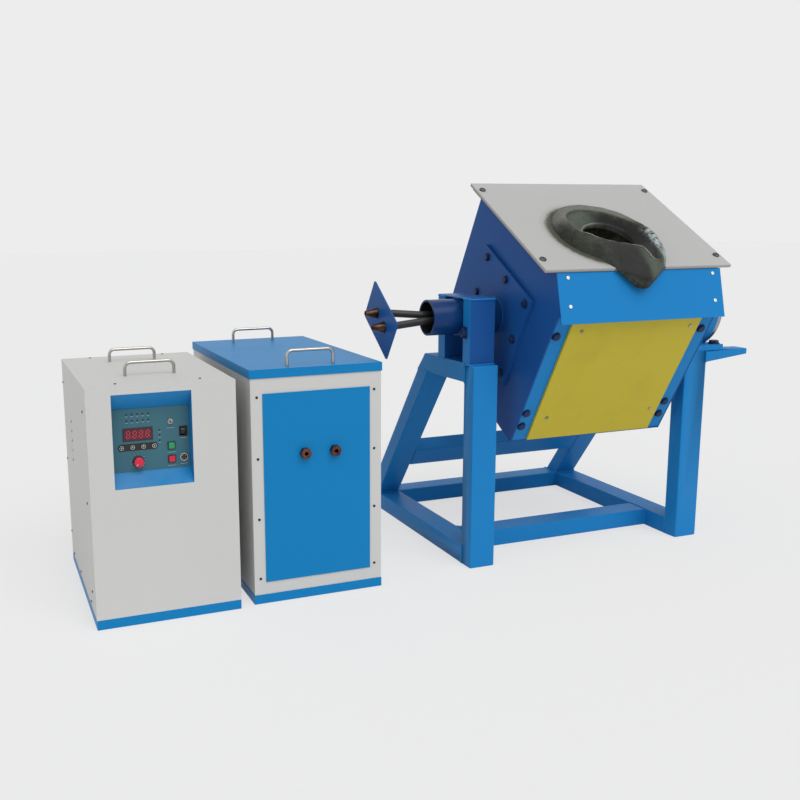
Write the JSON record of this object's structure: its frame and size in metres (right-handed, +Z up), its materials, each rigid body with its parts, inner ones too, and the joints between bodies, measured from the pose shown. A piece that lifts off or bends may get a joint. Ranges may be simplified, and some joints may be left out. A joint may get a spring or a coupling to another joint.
{
  "type": "tilting induction melting furnace set",
  "caption": "Induction melting set: a power cabinet with a recessed control panel, a capacitor cabinet and a crucible furnace that tips forward in a welded tube frame",
  "frame": {"origin": "centre of the whole set's footprint, on the floor", "axes": "+X runs to the right along the row of units, +Y to the back, +Z up; controls and spout face -Y"},
  "size_m": [1.9376, 0.9304, 1.0455],
  "materials": {
    "blue_paint": "satin powder coat",
    "frame_paint": "satin enamel",
    "grey_paint": "fine textured powder coat",
    "teal_panel": "matt coat",
    "lamp_lens": "dark window",
    "white_plastic": "glossy",
    "black_plastic": "moulded",
    "green_button": "glossy",
    "red_button": "glossy",
    "bright_steel": "bright plated",
    "brushed_steel": "turned",
    "aluminium": "extruded",
    "circuit_board": "solder mask",
    "copper": "drawn copper",
    "bronze": "machined bronze",
    "yellow_board": "pressed glass-fibre board",
    "black_rubber": "matt",
    "graphite": "clay graphite",
    "refractory": "rammed refractory"
  },
  "bodies": {
    "stand": {"psu_base_tray": "blue_paint", "psu_front_panel": "grey_paint", "psu_rear_panel": "grey_paint", "psu_cover": "grey_paint", "psu_panel_recess": "blue_paint", "psu_control_plate": "teal_panel", "psu_display": "lamp_lens", "psu_panel_fittings": "black_plastic", "psu_handles": "bright_steel", "psu_screws": "bright_steel", "psu_inverter": "aluminium", "psu_control_board": "circuit_board", "psu_fan_frame": "black_plastic", "cap_base_tray": "blue_paint", "cap_shell": "grey_paint", "cap_lid": "blue_paint", "cap_front_panel": "blue_paint", "cap_handles": "bright_steel", "cap_terminals": "copper", "cap_screws": "bright_steel", "cap_transformer": "copper", "cap_capacitors": "aluminium", "left_trestle": "frame_paint", "right_trestle": "frame_paint", "cross_tubes": "frame_paint", "left_pedestal": "frame_paint", "left_bearing": "brushed_steel", "gearbox_housing": "frame_paint", "frame_bolts": "bright_steel"},
    "handwheel": {"worm_shaft": "brushed_steel", "handwheel": "black_plastic"},
    "grip": {"handwheel_grip": "black_plastic"},
    "fan": {"psu_fan_rotor": "black_plastic"},
    "power_knob": {"psu_power_knob": "black_plastic"},
    "start_button": {"psu_start_button": "green_button"},
    "stop_button": {"psu_stop_button": "red_button"},
    "mode_toggle": {"psu_mode_toggle": "bright_steel"},
    "rocker_switch": {"psu_rocker_switch": "black_plastic"},
    "key_1": {"psu_key_1": "black_plastic"},
    "key_2": {"psu_key_2": "black_plastic"},
    "key_3": {"psu_key_3": "black_plastic"},
    "key_4": {"psu_key_4": "black_plastic"},
    "tilting_body": {"worm_wheel": "bronze", "trunnion_tube": "frame_paint", "trunnion_shaft": "frame_paint", "body_side_plates": "frame_paint", "body_corner_angles": "frame_paint", "body_bottom_plate": "frame_paint", "body_top_plate": "grey_paint", "body_apron": "frame_paint", "insulating_boards": "yellow_board", "body_fasteners": "bright_steel", "crucible": "graphite", "refractory_lining": "refractory", "pouring_rim": "refractory", "induction_coil": "copper", "lead_sleeves": "black_rubber", "terminal_plate": "frame_paint", "terminal_studs": "copper"}
  },
  "joints": [
    {"name": "body_tilt", "type": "hinge", "parent": "stand", "child": "tilting_body", "pos_m": [0.04175, -0.12483, 0.686], "axis": [1, 0, 0], "range_deg": [-30, 65]},
    {"name": "handwheel_turn", "type": "hinge", "parent": "stand", "child": "handwheel", "pos_m": [0.81375, 0.06017, 0.7705], "axis": [0, 1, 0], "range_deg": [-605, 1305]},
    {"name": "grip_spin", "type": "hinge", "parent": "handwheel", "child": "grip", "pos_m": [0.81375, 0.06017, 0.8485], "axis": [0, 1, 0], "continuous": true},
    {"name": "fan_spin", "type": "hinge", "parent": "stand", "child": "fan", "pos_m": [-0.79025, 0.24217, 0.42], "axis": [0, 1, 0], "continuous": true},
    {"name": "power_knob_turn", "type": "hinge", "parent": "stand", "child": "power_knob", "pos_m": [-0.84625, -0.22983, 0.3905], "axis": [0, 1, 0], "range_deg": [0, 270]},
    {"name": "mode_toggle_tilt", "type": "hinge", "parent": "stand", "child": "mode_toggle", "pos_m": [-0.76725, -0.23283, 0.481], "axis": [1, 0, 0], "range_deg": [0, 28]},
    {"name": "rocker_switch_tilt", "type": "hinge", "parent": "stand", "child": "rocker_switch", "pos_m": [-0.73725, -0.22383, 0.455], "axis": [1, 0, 0], "range_deg": [-16, 0]},
    {"name": "start_button_press", "type": "slide", "parent": "stand", "child": "start_button", "axis": [0, 1, 0], "range_m": [0, 0.003], "stiffness_N_per_m": 700, "springref_m": -0.001},
    {"name": "stop_button_press", "type": "slide", "parent": "stand", "child": "stop_button", "axis": [0, 1, 0], "range_m": [0, 0.003], "stiffness_N_per_m": 700, "springref_m": -0.001},
    {"name": "key_1_press", "type": "slide", "parent": "stand", "child": "key_1", "axis": [0, 1, 0], "range_m": [0, 0.0012], "stiffness_N_per_m": 900, "springref_m": -0.0005},
    {"name": "key_2_press", "type": "slide", "parent": "stand", "child": "key_2", "axis": [0, 1, 0], "range_m": [0, 0.0012], "stiffness_N_per_m": 900, "springref_m": -0.0005},
    {"name": "key_3_press", "type": "slide", "parent": "stand", "child": "key_3", "axis": [0, 1, 0], "range_m": [0, 0.0012], "stiffness_N_per_m": 900, "springref_m": -0.0005},
    {"name": "key_4_press", "type": "slide", "parent": "stand", "child": "key_4", "axis": [0, 1, 0], "range_m": [0, 0.0012], "stiffness_N_per_m": 900, "springref_m": -0.0005}
  ],
  "couplings": [
    {"joint": "handwheel_turn", "follows": "body_tilt", "ratio": 20}
  ]
}
